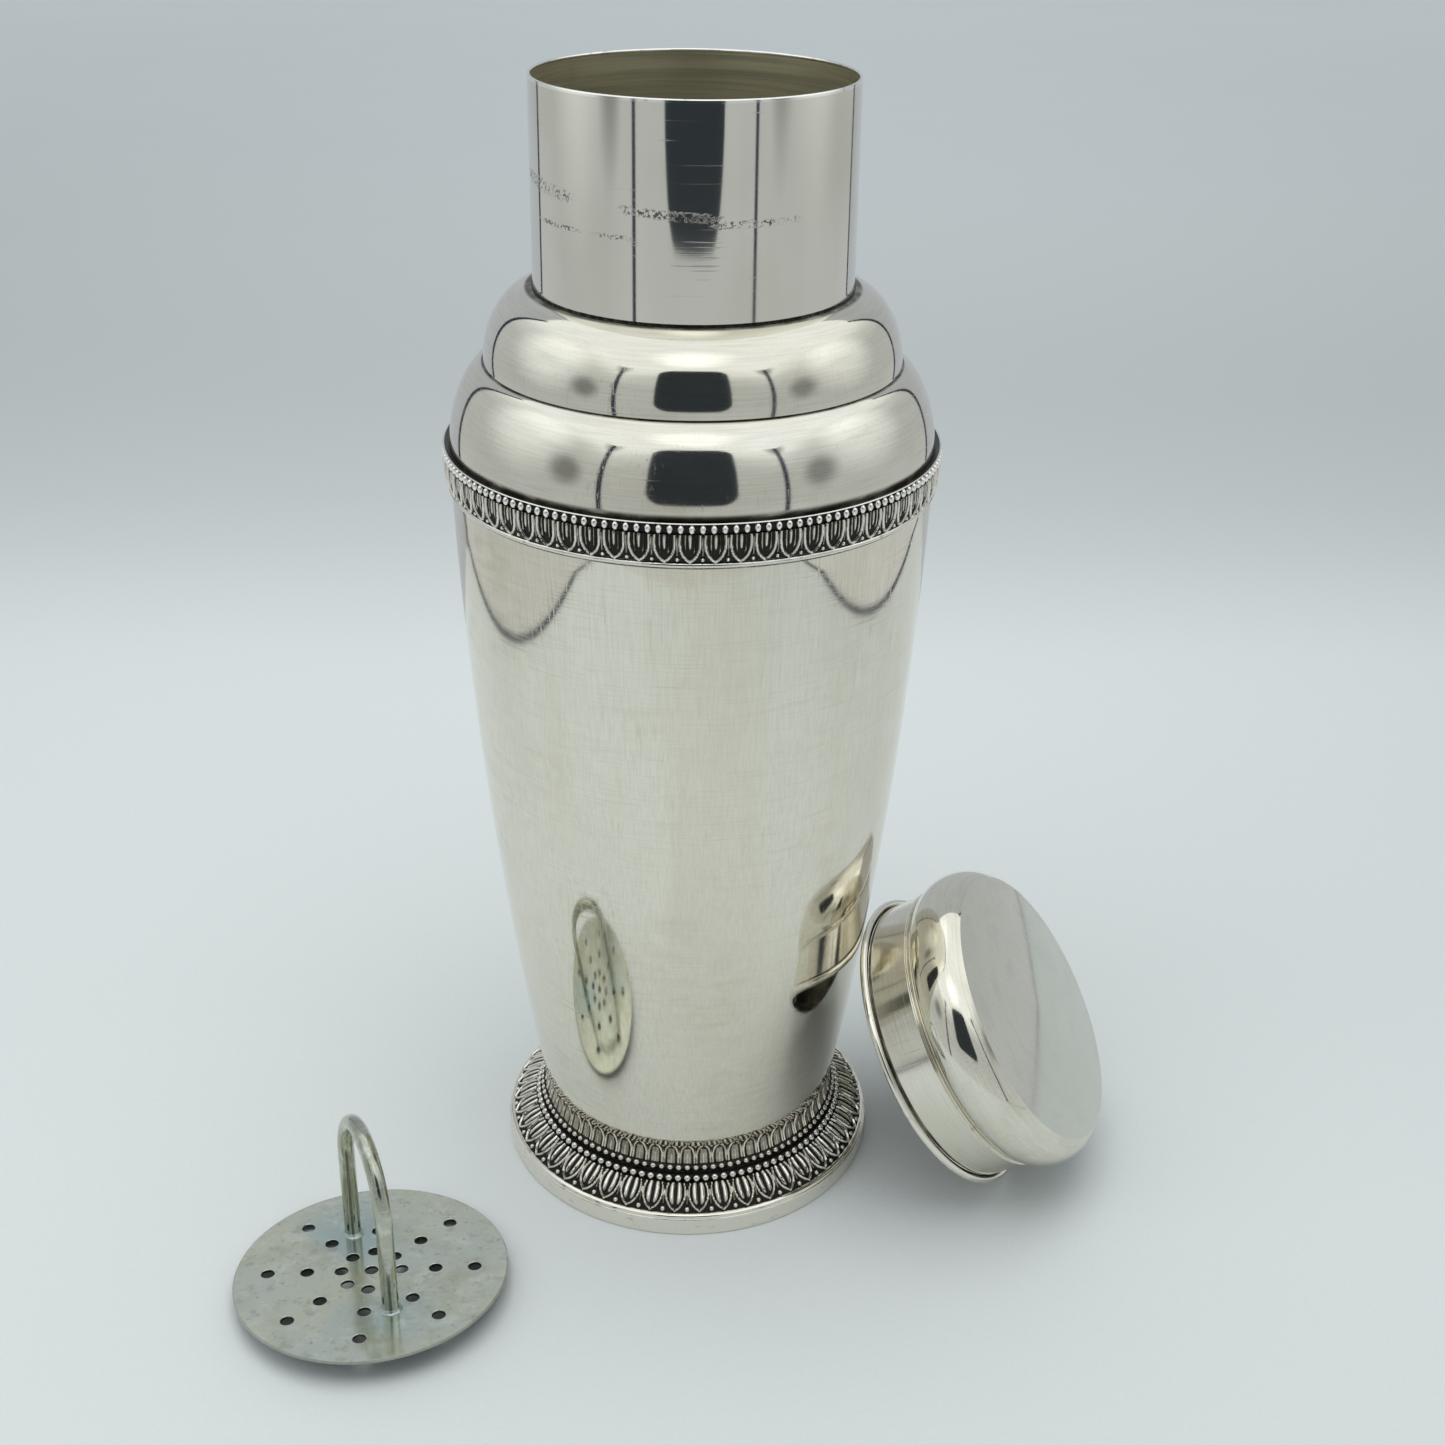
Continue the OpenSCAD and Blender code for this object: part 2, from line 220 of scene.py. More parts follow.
def leaf_row(s, v, pitch, height, look):
    """Relief from 0 to 1 of a row of pointed leaves: s runs round in pitches, v from root to tip."""
    centre = np.abs((s - look["phase"] + 0.5) % 1 - 0.5)
    gap = 0.5 - centre
    at, widths = look["outline"]
    half = np.interp(v, at, widths)
    slope = (np.interp(v + 0.01, at, widths) - np.interp(v - 0.01, at, widths)) / 0.02
    slant = np.sqrt(1 + (slope * pitch / height) ** 2)
    edge = (centre - half) * pitch / slant
    present = v < at[-1] + 0.02
    ridge = np.exp(-(edge / look["ridge"]) ** 2) * present
    wedge = look["rib"] * np.clip(1.2 - v, 0.3, 1)
    rib = look["rib_share"] * np.exp(-(centre * pitch / wedge) ** 2) * window(v, *look["rib_span"])
    across = centre / np.maximum(half, 1e-3)
    lobe = (look["lobe"] * window(across, *look["lobe_span"], look["lobe_soft"])
            * window(v, -0.2, look["lobe_end"], 0.2))
    stalk = 0.55 * np.exp(-(gap * pitch / look["stalk"]) ** 2) * window(v, *look["stalk_span"])
    far = ((gap * pitch) ** 2 + ((v - look["dot_at"]) * height) ** 2) / look["dot"] ** 2
    dot = np.sqrt(np.clip(1 - far, 0, 1))
    return np.clip(np.max([ridge, rib, lobe, stalk, dot], axis=0), 0, 1)


def relief_ring(front, back, look):
    """A ring with leaves raised on its front. front is an outline up and back one down, in mm."""
    front, count = np.array(front, float), look["count"]
    turns = count * look["columns"]
    along = np.r_[0, np.cumsum(np.hypot(*np.diff(front, axis=0).T))]
    t = along / along[-1]
    step = np.gradient(front, axis=0)
    normal = np.c_[step[:, 1], -step[:, 0]] / np.hypot(*step.T)[:, None]
    turn = np.arange(turns) / turns
    s, v = np.meshgrid(turn * count, 1 - t if look["root_at_top"] else t, indexing="ij")
    pitch = 2 * math.pi * front[:, 0].mean() / count
    relief = leaf_row(s, v, pitch, along[-1], look)
    raised = front + look["depth"] * (relief - 1)[..., None] * normal
    behind = np.broadcast_to(back, (turns, len(back), 2))
    r, z = np.moveaxis(np.concatenate([raised, behind], axis=1), -1, 0)
    angle = (turn * 2 * math.pi - math.pi / 2)[:, None]
    verts = np.stack([r * np.cos(angle), r * np.sin(angle), z], -1).reshape(-1, 3) * MM
    shade = np.concatenate([relief, np.zeros((turns, len(back)))], axis=1).ravel()
    return verts, loop_faces(turns, len(front) + len(back)), shade


def loop_faces(turns, ring):
    """Quads of a tube whose every one of turns sections is a closed loop of ring points."""
    i, j = np.meshgrid(np.arange(turns), np.arange(ring), indexing="ij")
    a, b = i * ring + j, ((i + 1) % turns) * ring + j
    c, d = ((i + 1) % turns) * ring + (j + 1) % ring, i * ring + (j + 1) % ring
    return np.stack([a, b, c, d], -1).reshape(-1, 4).tolist()


def bead_row(r, z, count, size, backing, painted_top_light, uneven, sides=12, bands=8):
    """Beads of half sizes (round, up, out) set side by side on a turned backing.

    lift is how much lighter their tops are painted than their undersides: painted light from above.
    """
    arc = np.linspace(-math.pi / 2, math.pi / 2, bands + 1)
    unit, faces = lathe([(math.cos(b), math.sin(b)) for b in arc], sides)
    unit = np.array(unit) / MM * (size[0], size[2], size[1])
    # Worn fronts, with painted light: tops lighter, undersides darker.
    worn_and_lit = np.clip(0.62 + 0.75 * unit[:, 1] / size[2] + painted_top_light * unit[:, 2] / size[1], 0, 1)
    verts, all_faces = lathe(backing, 180)
    verts = [np.array(verts)]
    start = len(verts[0])
    shade = [np.zeros(start)] + [worn_and_lit] * count
    for n in range(count):
        a = 2 * math.pi * n / count - math.pi / 2
        out, side = np.array([math.cos(a), math.sin(a), 0]), np.array([-math.sin(a), math.cos(a), 0])
        bead = unit[:, :1] * side + unit[:, 1:2] * out + unit[:, 2:] * np.array([0, 0, 1])
        bead = bead * (1 - uneven * (0.5 + 0.5 * math.sin(n * 2.3) * math.cos(n * 5.1)))
        verts.append((bead + out * r + np.array([0, 0, z])) * MM)
        all_faces += [[v + start for v in f] for f in faces]
        start += len(unit)
    return np.vstack(verts), all_faces, np.concatenate(shade)


# Leaf rings: number of leaves, mesh columns to a leaf, depth in mm, outline as half widths in pitches
# from root to tip, then each raised part's width in mm, its share, and its span along or across.
BAND_LEAF = dict(
    count=67, columns=26, depth=0.5, root_at_top=True,
    outline=((0, 0.3, 0.55, 0.75, 0.9, 1.0), (0.39, 0.40, 0.37, 0.28, 0.14, 0.0)), phase=-0.066,
    ridge=0.25, rib=0.3, rib_share=0.7, rib_span=(-0.1, 0.6, 0.2), lobe=0.72, lobe_span=(0.34, 0.58),
    lobe_soft=0.13, lobe_end=0.76, stalk=0.14, stalk_span=(0.05, 0.8), dot_at=0.9, dot=0.4)
FOOT_LEAF = dict(
    count=47, columns=28, depth=0.62, root_at_top=True,
    outline=((0, 0.2, 0.45, 0.65, 0.8, 0.9, 1.0), (0.36, 0.42, 0.42, 0.36, 0.26, 0.15, 0.0)), phase=0.5,
    ridge=0.25, rib=0.3, rib_share=0.0, rib_span=(0.03, 0.6, 0.16), lobe=0.78, lobe_span=(0.03, 0.78),
    lobe_soft=0.37, lobe_end=0.86, stalk=0.2, stalk_span=(0.2, 0.8), dot_at=0.93, dot=0.55)
COLLAR_LEAF = dict(
    count=58, columns=22, depth=0.38, root_at_top=False,
    outline=((0, 0.45, 0.7, 0.86, 0.97), (0.42, 0.41, 0.32, 0.18, 0.0)), phase=0.0,
    ridge=0.24, rib=0.16, rib_share=0.7, rib_span=(-0.1, 0.55, 0.12), lobe=0.46, lobe_span=(-0.1, 0.66),
    lobe_soft=0.13, lobe_end=0.85, stalk=0.14, stalk_span=(0.2, 0.7), dot_at=0.9, dot=0.36)


# ---- materials

class Tree:
    """Short ways to add and join a material's nodes."""

    def __init__(self, name, staged=False):
        """Staged sheets find their place as objects do, pieces find it from own_place."""
        self.material = bpy.data.materials.new(name)
        self.material.use_nodes = True
        self.nodes, self.links = self.material.node_tree.nodes, self.material.node_tree.links
        self.nodes.clear()
        self.out = self.nodes.new("ShaderNodeOutputMaterial")
        if staged:
            self.place = self.nodes.new("ShaderNodeTexCoord").outputs["Object"]
        else:
            self.place = self.attribute("own_place").outputs["Vector"]
        parts = self.nodes.new("ShaderNodeSeparateXYZ")
        self.links.new(self.place, parts.inputs[0])
        self.x, self.y, self.z = parts.outputs

    def attribute(self, name):
        """A node that reads an attribute of the mesh."""
        node = self.nodes.new("ShaderNodeAttribute")
        node.attribute_name = name
        return node

    def put(self, socket, value):
        """Joins a node's output to a socket, or sets the socket."""
        if isinstance(value, bpy.types.NodeSocket):
            self.links.new(value, socket)
        else:
            socket.default_value = value

    def math(self, operation, *values):
        """The result of a Math node."""
        node = self.nodes.new("ShaderNodeMath")
        node.operation = operation
        for socket, value in zip(node.inputs, values):
            self.put(socket, value)
        return node.outputs[0]

    def times(self, a, b):
        """The product of two values."""
        return self.math("MULTIPLY", a, b)

    def most(self, *values):
        """The largest of several values."""
        largest = values[0]
        for value in values[1:]:
            largest = self.math("MAXIMUM", largest, value)
        return largest

    def away(self, value, centre):
        """How far a value is from another."""
        return self.math("ABSOLUTE", self.math("SUBTRACT", value, centre))

    def ramp(self, value, low, high, tones):
        """Colours joined in straight steps: tones are (value, (r, g, b)) from low to high."""
        share = self.nodes.new("ShaderNodeMapRange")
        self.put(share.inputs[0], value)
        share.inputs[1].default_value, share.inputs[2].default_value = low, high
        node = self.nodes.new("ShaderNodeValToRGB")
        self.links.new(share.outputs[0], node.inputs[0])
        while len(node.color_ramp.elements) < len(tones):
            node.color_ramp.elements.new(0.5)
        for element, (at, tone) in zip(node.color_ramp.elements, tones):
            element.position = (at - low) / (high - low)
            element.color = (*tone, 1)
        return node.outputs[0]

    def radius(self):
        """Distance from the piece's own axis."""
        return self.math("SQRT", self.math("ADD", *(self.times(side, side) for side in (self.x, self.y))))

    def distance(self, centre):
        """Distance from a point."""
        node = self.nodes.new("ShaderNodeVectorMath")
        node.operation = "DISTANCE"
        self.links.new(self.place, node.inputs[0])
        node.inputs[1].default_value = centre
        return node.outputs["Value"]

    def noise(self, sizes, detail=2.0, rough=0.5, turn=0.0):
        """Noise with sizes features to a metre along each axis, turned a little about x and y."""
        scaled = self.nodes.new("ShaderNodeMapping")
        scaled.inputs["Scale"].default_value = sizes
        scaled.inputs["Rotation"].default_value = (0.35 * turn, turn, 0)
        self.links.new(self.place, scaled.inputs["Vector"])
        node = self.nodes.new("ShaderNodeTexNoise")
        self.links.new(scaled.outputs[0], node.inputs["Vector"])
        for key, value in (("Scale", 1.0), ("Detail", detail), ("Roughness", rough)):
            node.inputs[key].default_value = value
        return node.outputs["Fac"]

    def span(self, value, low, high, to_low=0.0, to_high=1.0):
        """Moves smoothly from to_low to to_high as value goes from low to high."""
        node = self.nodes.new("ShaderNodeMapRange")
        node.interpolation_type = "SMOOTHSTEP"
        self.put(node.inputs[0], value)
        for i, number in enumerate((low, high, to_low, to_high)):
            node.inputs[i + 1].default_value = number
        return node.outputs[0]

    def blend(self, factor, a, b):
        """Mixes two colours."""
        node = self.nodes.new("ShaderNodeMix")
        node.data_type = "RGBA"
        self.put(node.inputs["Factor"], factor)
        for socket, colour in ((node.inputs[6], a), (node.inputs[7], b)):
            self.put(socket, colour if isinstance(colour, bpy.types.NodeSocket) else (*colour, 1))
        return node.outputs[2]

    def stain(self, tone, pattern, low, high, share, colour):
        """Stains tone by share where pattern rises from low to high."""
        return self.blend(self.times(self.span(pattern, low, high), share), tone, colour)

    def bump(self, height, distance, under=None):
        """A normal bent by a height, over an earlier one."""
        node = self.nodes.new("ShaderNodeBump")
        node.inputs["Distance"].default_value = distance
        self.put(node.inputs["Height"], height)
        if under is not None:
            self.links.new(under, node.inputs["Normal"])
        return node.outputs[0]

    def finish(self, colour, roughness, normal, metallic=1.0):
        """Ends the material in a Principled shader."""
        shader = self.nodes.new("ShaderNodeBsdfPrincipled")
        for key, value in (("Base Color", colour), ("Roughness", roughness), ("Metallic", metallic),
                           ("Normal", normal)):
            self.put(shader.inputs[key], value)
        self.links.new(shader.outputs[0], self.out.inputs[0])
        return self.material


def shaded(colour, share):
    """A colour times share."""
    return tuple(share * c for c in colour)


def scratches(tree, fine, long, turn, cut=0.64, gate_from=0.45):
    """Sparse hairlines: stretched noise, kept only at its peaks."""
    field = tree.noise((fine, fine, long), 1.0, turn=turn)
    gate = tree.noise((60, 60, 60), turn=turn)
    return tree.times(tree.span(field, cut, cut + 0.07), tree.span(gate, gate_from, gate_from + 0.17))


def tarnish_shade_belts(tree, tone, rough, tarnish_and_shade):
    """Adds black belts of tarnish and painted shade in creases, under ledges and at joints, given as
    (height, half width, softness) in mm.
    """
    patch = tree.noise((160, 160, 500), 3.0, 0.6)
    for height, half, soft in tarnish_and_shade:
        belt = tree.span(tree.away(tree.z, height * MM), half * MM, (half + soft) * MM, 1.0, 0.0)
        edge = tree.times(belt, tree.span(patch, 0.25, 0.6, 0.55, 0.95))
        tone = tree.blend(edge, tone, (0.035, 0.029, 0.022))
        rough = tree.math("MULTIPLY_ADD", edge, 0.3, rough)
    return tone, rough


def plated(name, colour, dull, roughness, upright_grain=False, tarnish_and_shade=()):
    """Polished silver plate: fine grain, hairline scratches, soft waves and a faint warm film."""
    tree = Tree(name)
    fine = tree.noise((2600, 2600, 90) if upright_grain else (90, 90, 2600))
    drift = tree.noise((75, 75, 7) if upright_grain else (16, 16, 60), 3.0, 0.55)
    hair = tree.most(scratches(tree, 1900, 40, 0.5), scratches(tree, 1700, 50, -0.8))
    level = tree.most(scratches(tree, 26, 2600, 0.0, 0.66), scratches(tree, 30, 2300, 0.12, 0.7))
    hair = tree.most(tree.times(hair, 0.8), level)
    wear = tree.most(scratches(tree, 90, 3400, 0.04, 0.56, 0.3), scratches(tree, 3000, 110, 0.9, 0.6, 0.4),
                     scratches(tree, 2800, 90, -0.35, 0.6, 0.42))
    film = tree.noise((38, 38, 24), 4.0, 0.6)
    streak = tree.noise((150, 150, 400), 4.0)
    dirt = tree.times(tree.span(film, 0.44, 0.72), tree.span(streak, 0.35, 0.75))
    tone = tree.blend(tree.times(dirt, 0.8), colour, dull)
    tone = tree.blend(tree.times(hair, 0.3), tone, shaded(dull, 0.8))
    tone = tree.blend(tree.times(wear, 0.16), tone, shaded(dull, 0.75))
    tone = tree.blend(tree.span(drift, 0.38, 0.66, 0.0, 0.3), tone, dull)
    tone = tree.blend(tree.span(fine, 0.36, 0.64, 0.0, 0.14), tone, shaded(dull, 0.7))
    rough = tree.math("ADD", tree.span(film, 0.3, 0.75, roughness, roughness + 0.04),
                      tree.times(hair, 0.12))
    # Dark belts: tarnish and painted shade at creases, ledges and joints.
    tone, rough = tarnish_shade_belts(tree, tone, rough, tarnish_and_shade)
    soft = tree.bump(tree.noise((45, 45, 30), 1.0), 2.0e-5)
    lines = tree.bump(wear, -5e-7, tree.bump(fine, 3e-7, soft))
    return tree.finish(tone, rough, tree.bump(hair, -1.2e-6, lines))


# Scuffs on the neck: height and half height in m, start and end round it in radians, and lean.
SCUFFS = ((0.2244, 0.0009, 0.12, 0.62, 0.0), (0.2256, 0.0011, -0.42, 0.14, -0.002),
          (0.2251, 0.0015, -1.4, -0.75, -0.0024), (0.2214, 0.0006, -1.1, -0.4, 0.0))


def scuffed_neck(name, colour, dull):
    """The neck's plate: level hairlines, and a broken ring of scuffs where the cap's rim stops."""
    tree = Tree(name)
    round_to = tree.math("ARCTAN2", tree.x, tree.times(tree.y, -1.0))
    bands = []
    for centre, half, start, end, lean in SCUFFS:
        near = tree.away(tree.z, tree.math("MULTIPLY_ADD", round_to, lean, centre))
        inside = tree.times(tree.span(round_to, start - 0.05, start + 0.05),
                            tree.span(round_to, end - 0.06, end + 0.06, 1.0, 0.0))
        bands.append(tree.times(tree.span(near, half * 0.3, half, 1.0, 0.0), inside))
    speck = tree.noise((1500, 1500, 1500), 3.0, 0.65)
    patch = tree.noise((140, 140, 60))
    marks = tree.times(tree.most(*bands), tree.span(speck, 0.50, 0.57))
    marks = tree.times(marks, tree.span(patch, 0.3, 0.45))
    level = scratches(tree, 35, 2400, 0.02, 0.62)
    fine = tree.noise((60, 60, 3000))
    film = tree.noise((30, 30, 24), 3.0)
    tone = tree.blend(tree.span(film, 0.45, 0.8), colour, dull)
    tone = tree.blend(tree.times(marks, 0.85), tone, (0.05, 0.045, 0.04))
    rough = tree.math("ADD", tree.span(film, 0.3, 0.8, 0.05, 0.09),
                      tree.math("MULTIPLY_ADD", marks, 0.4, tree.times(level, 0.12)))
    soft = tree.bump(tree.noise((50, 50, 12), 1.0), 1.4e-5)
    worn = tree.bump(level, -2e-6, tree.bump(fine, 8e-7, soft))
    return tree.finish(tone, rough, tree.bump(marks, -2e-5, worn))


def oxidised(name, bright, dark, low=0.12, high=0.72, polish=0.16):
    """Worked silver: black oxide in the recesses, worn bright on the raised parts; on bead rows also
    painted light, tops lighter and undersides darker.
    """
    tree = Tree(name)
    uneven = tree.noise((900, 900, 900), 3.0)
    level = tree.math("ADD", tree.attribute("relief").outputs["Fac"],
                      tree.math("MULTIPLY_ADD", uneven, 0.34, -0.17))
    tone = tree.blend(tree.span(level, low, high), dark, bright)
    rough = tree.span(level, low, high, 0.5, polish)
    return tree.finish(tone, rough, tree.bump(uneven, 1.2e-5), tree.span(level, 0.0, low, 0.75, 1.0))


def edged(name, colour, groove, roughness=0.06, bright_from=None):
    """Plain wire or rim: bright metal with tarnish specks, black inside radius bright_from, in mm."""
    tree = Tree(name)
    speck = tree.noise((420, 420, 600), 4.0, 0.6)
    wide = tree.noise((60, 60, 60))
    tone = tree.stain(colour, speck, 0.58, 0.72, 0.5, groove)
    rough = tree.span(wide, 0.3, 0.7, roughness, roughness + 0.08)
    if bright_from is not None:
        clean = tree.span(tree.radius(), bright_from * MM, (bright_from + 0.15) * MM)
        tone = tree.blend(clean, (0.02, 0.017, 0.014), tone)
    return tree.finish(tone, rough, tree.bump(speck, 3e-6))


def dark_seam(name):
    """Tarnish packed into a soldered groove."""
    tree = Tree(name)
    grit = tree.noise((1200, 1200, 700), 4.0)
    tone = tree.blend(tree.span(grit, 0.4, 0.75), (0.010, 0.009, 0.008), (0.07, 0.06, 0.05))
    return tree.finish(tone, tree.span(grit, 0.3, 0.7, 0.6, 0.35), tree.bump(grit, 4e-5), 0.6)


def inner_wall(name):
    """Unpolished inside of the shaker: olive-brown film with level spinning marks."""
    tree = Tree(name)
    spin = tree.noise((14, 14, 700), 4.0, 0.62)
    tone = tree.blend(tree.span(spin, 0.3, 0.72), (0.30, 0.28, 0.19), (0.66, 0.62, 0.45))
    tone = tree.stain(tone, tree.noise((60, 60, 45), 4.0), 0.5, 0.75, 0.35, (0.16, 0.15, 0.10))
    return tree.finish(tone, tree.span(spin, 0.3, 0.7, 0.42, 0.28), tree.bump(spin, 2e-5), 0.86)


def tinned(name, colour, dull, roughness, turn=0.0, metallic=1.0, blue_patch_centres=(), plate=None):
    """The strainer's satin plate: pale film with stains and wear, and bluish patches round the given
    points.

    plate is the radius and the height of a plate in mm: its rim, holes and underside get painted shade.
    """
    tree = Tree(name)
    drift = tree.noise((32, 44, 40), 3.0, 0.55, turn)
    spots = tree.noise((230, 230, 230), 5.0, 0.65)
    grit = tree.noise((1500, 1500, 1500), 3.0, 0.6)
    hair = tree.most(scratches(tree, 1500, 60, 0.5), scratches(tree, 60, 1500, 0.3))
    tone = tree.blend(tree.span(drift, 0.34, 0.66), colour, dull)
    # Bluish patches round each of these points.
    for centre in blue_patch_centres:
        ragged = tree.math("MULTIPLY_ADD", drift, 0.02, tree.distance(centre))
        tone = tree.blend(tree.span(ragged, 0.012, 0.026, 0.6, 0.0), tone, (0.36, 0.50, 0.53))
    cloud = tree.noise((75, 95, 90), 5.0, 0.7, turn)
    bloom = tree.noise((120, 150, 130), 6.0, 0.72, turn)
    freckle = tree.noise((620, 620, 620), 3.0, 0.6)
    tone = tree.stain(tone, cloud, 0.45, 0.68, 0.42, (0.42, 0.42, 0.33))
    tone = tree.stain(tone, bloom, 0.50, 0.66, 0.6, (0.74, 0.76, 0.70))
    tone = tree.stain(tone, spots, 0.53, 0.68, 0.5, (0.34, 0.35, 0.29))
    tone = tree.stain(tone, freckle, 0.60, 0.72, 0.45, (0.24, 0.25, 0.21))
    tone = tree.blend(tree.times(hair, 0.25), tone, (0.74, 0.75, 0.68))
    # Painted shade: the plate's rim, its hole walls and its underside are darkened.
    if plate is not None:
        rim, top = plate
        out = tree.radius()
        edge = tree.span(out, (rim - 0.2) * MM, (rim - 0.05) * MM)
        tone = tree.blend(tree.times(edge, 0.6), tone, (0.20, 0.21, 0.18))
        inner = tree.span(out, (rim - 0.4) * MM, (rim - 0.3) * MM, 1.0, 0.0)
        under = tree.times(inner, tree.span(tree.z, (top - 0.25) * MM, (top - 0.1) * MM, 1.0, 0.0))
        tone = tree.blend(tree.times(under, 0.92), tone, (0.03, 0.032, 0.027))
    rough = tree.math("ADD", tree.span(drift, 0.3, 0.7, roughness, roughness + 0.07),
                      tree.span(spots, 0.55, 0.7, 0.0, 0.12))
    rough = tree.math("MULTIPLY_ADD", hair, 0.12, rough)
    uneven = tree.bump(tree.noise((90, 90, 90)), 4e-5)
    return tree.finish(tone, rough, tree.bump(grit, 4e-6, uneven), metallic)


# ---- shaker

def worked_piece(node, shape, material):
    """A piece of worked silver on the shaker."""
    return make_piece(node, shape, material)


def bead_piece(node, material, count, size, sunk, waist, crown, gap=0.03, painted_top_light=0.25, uneven=0.0):
    """A bead row in its CAD node's place, with sunk from its outside to the beads' centres.

    Its backing stands waist inside at its edges, gap from the node's ends, and crown at its middle.
    """
    inner, outer, low, top = ring_size(node)
    middle = (low + top) / 2
    backing = [(inner + 0.02, low + gap), (outer - waist, low + gap), (outer - crown, middle),
               (outer - waist, top - gap), (inner + 0.02, top - gap)]
    return worked_piece(node, bead_row(outer - sunk, middle, count, size, backing, painted_top_light, uneven), material)


def foot(mat):
    """The base plate, the foot's stepped rim and skirt, its two leaf rings and two rows of beads."""
    wide_in, foot_r, _, rim_top = ring_size("foot_rim")
    rim_in, _, skirt_low, skirt_top = ring_size("foot_skirt")
    _, plate_r, _, plate_t = ring_size("base_plate")
    turn_piece("base_plate", rounded(block(0, plate_r, 0, plate_t), 0.2), mat["body"])
    rim = [(wide_in, 0), (foot_r - 0.15, 0), (foot_r, 0.35), (foot_r, rim_top - 1.25),
           (foot_r - 0.12, rim_top - 1.05), (foot_r - 0.28, rim_top - 0.95),
           (foot_r - 0.2, rim_top - 0.7), (foot_r - 0.42, rim_top - 0.25),
           (foot_r - 0.95, rim_top), (wide_in, rim_top)]
    turn_piece("foot_rim", rounded(rim, 0.22, 3), mat["rim"])

    bead_in, bead_out, bead_low, _ = ring_size("foot_large_beads")
    leaf_in, leaf_out, leaf_low, leaf_top = ring_size("foot_leaf_ring")
    skirt = [(rim_in, skirt_top - 1), (bead_in - 1, skirt_top - 1), (bead_in - 1, bead_low - 0.65),
             (wide_in - 1, rim_top - 0.1), (wide_in - 1, skirt_low), (wide_in, skirt_low),
             (wide_in, rim_top + 0.9), (min(leaf_in, bead_out), bead_low),
             (bead_in, bead_low), (bead_in, skirt_top), (rim_in, skirt_top)]
    turn_piece("foot_skirt", skirt, mat["seam"])

    slope = bow((leaf_out - 0.12, leaf_low + 0.75), (bead_out + 0.12, leaf_top - 0.02), 0.35, 34)
    back = [(bead_out - 0.2, bead_low + 0.02), (wide_in + 0.02, rim_top + 0.85),
            (wide_in + 0.02, leaf_low + 0.01), (leaf_out - 0.3, leaf_low + 0.01)]
    worked_piece("foot_leaf_ring", relief_ring(slope, back, FOOT_LEAF), mat["worked"])
    bead_piece("foot_large_beads", mat["beads"], count=108, size=(0.86, 0.93, 0.95), sunk=0.98,
               waist=1.0, crown=0.75, painted_top_light=0.55)
    bead_piece("foot_small_beads", mat["small_beads"], count=112, size=(0.76, 0.70, 0.80), sunk=0.85,
               waist=0.9, crown=0.6, painted_top_light=0.35, uneven=0.14)

    inner, outer, low, top = ring_size("foot_leaf_collar")
    wall = bow((outer, low + 0.05), (inner + 0.8, top - 0.05), -0.35, 26)
    back = [(inner + 0.02, top - 0.05), (inner + 0.02, low + 0.05)]
    worked_piece("foot_leaf_collar", relief_ring(wall, back, COLLAR_LEAF), mat["collar"])


def body(mat):
    """The tall tapered body with its slight bow, and the step into the foot's collar."""
    _, top_r, low, top = ring_size("body_shell")
    inner, _, _, collar_top = ring_size("foot_leaf_collar")
    band_low = ring_size("band_fillet_wire")[2]
    bottom_r = inner + COLLAR_STEP
    side = bow((bottom_r, collar_top + 0.2), (top_r, band_low - 0.8), BODY_BOW, 60)
    lip = [(inner, collar_top + 0.01), (bottom_r - 0.2, collar_top + 0.01),
           (bottom_r - 0.06, collar_top + 0.06)]
    inside = [(r - WALL, z) for r, z in reversed(side)]
    shell = ([(0, low), (inner, low)] + lip + side + [(top_r, top), (top_r - WALL, top)] + inside
             + [(inner - 1, collar_top - 1), (inner - 1, low + 2.2), (inner - 2.2, low + 1),
                (0, low + 1)])
    turn_piece("body_shell", shell, mat["body"], turns=FINE_TURNS)


def band(mat):
    """The ornament band under the shoulder: a wire, a leaf strip, a row of beads and a ledge."""
    wall_r, out, low, top = ring_size("band_fillet_wire")
    round_wire = [(wall_r + 0.01, low + 0.02), (out - 0.4, low + 0.02), (out - 0.12, low + 0.22),
                  (out, (low + top) / 2), (out - 0.12, top - 0.22), (out - 0.4, top - 0.02),
                  (wall_r + 0.01, top - 0.02)]
    turn_piece("band_fillet_wire", rounded(round_wire, 0.2, 3), mat["wire"])

    _, out, low, top = ring_size("band_leaf_strip")
    front = bow((out - 0.62, low + 0.03), (out, top - 0.03), 0.25, 34)
    back = [(wall_r + 0.02, top - 0.03), (wall_r + 0.02, low + 0.03)]
    worked_piece("band_leaf_strip", relief_ring(front, back, BAND_LEAF), mat["worked"])
    bead_piece("band_beads", mat["band_beads"], count=156, size=(0.66, 0.93, 0.83), sunk=0.85,
               waist=1.0, crown=0.85, gap=0.02)

    _, out, low, _ = ring_size("band_top_wire")
    ledge = [(wall_r + 0.02, low + 0.01), (out - 0.3, low + 0.01), (out - 0.1, low + 0.15),
             (out - 0.25, low + 0.33), (out - 0.55, low + 0.26), (wall_r + 0.4, low + 0.12),
             (wall_r + 0.02, low + 0.12)]
    turn_piece("band_top_wire", rounded(ledge, 0.08, 3), mat["top_wire"])


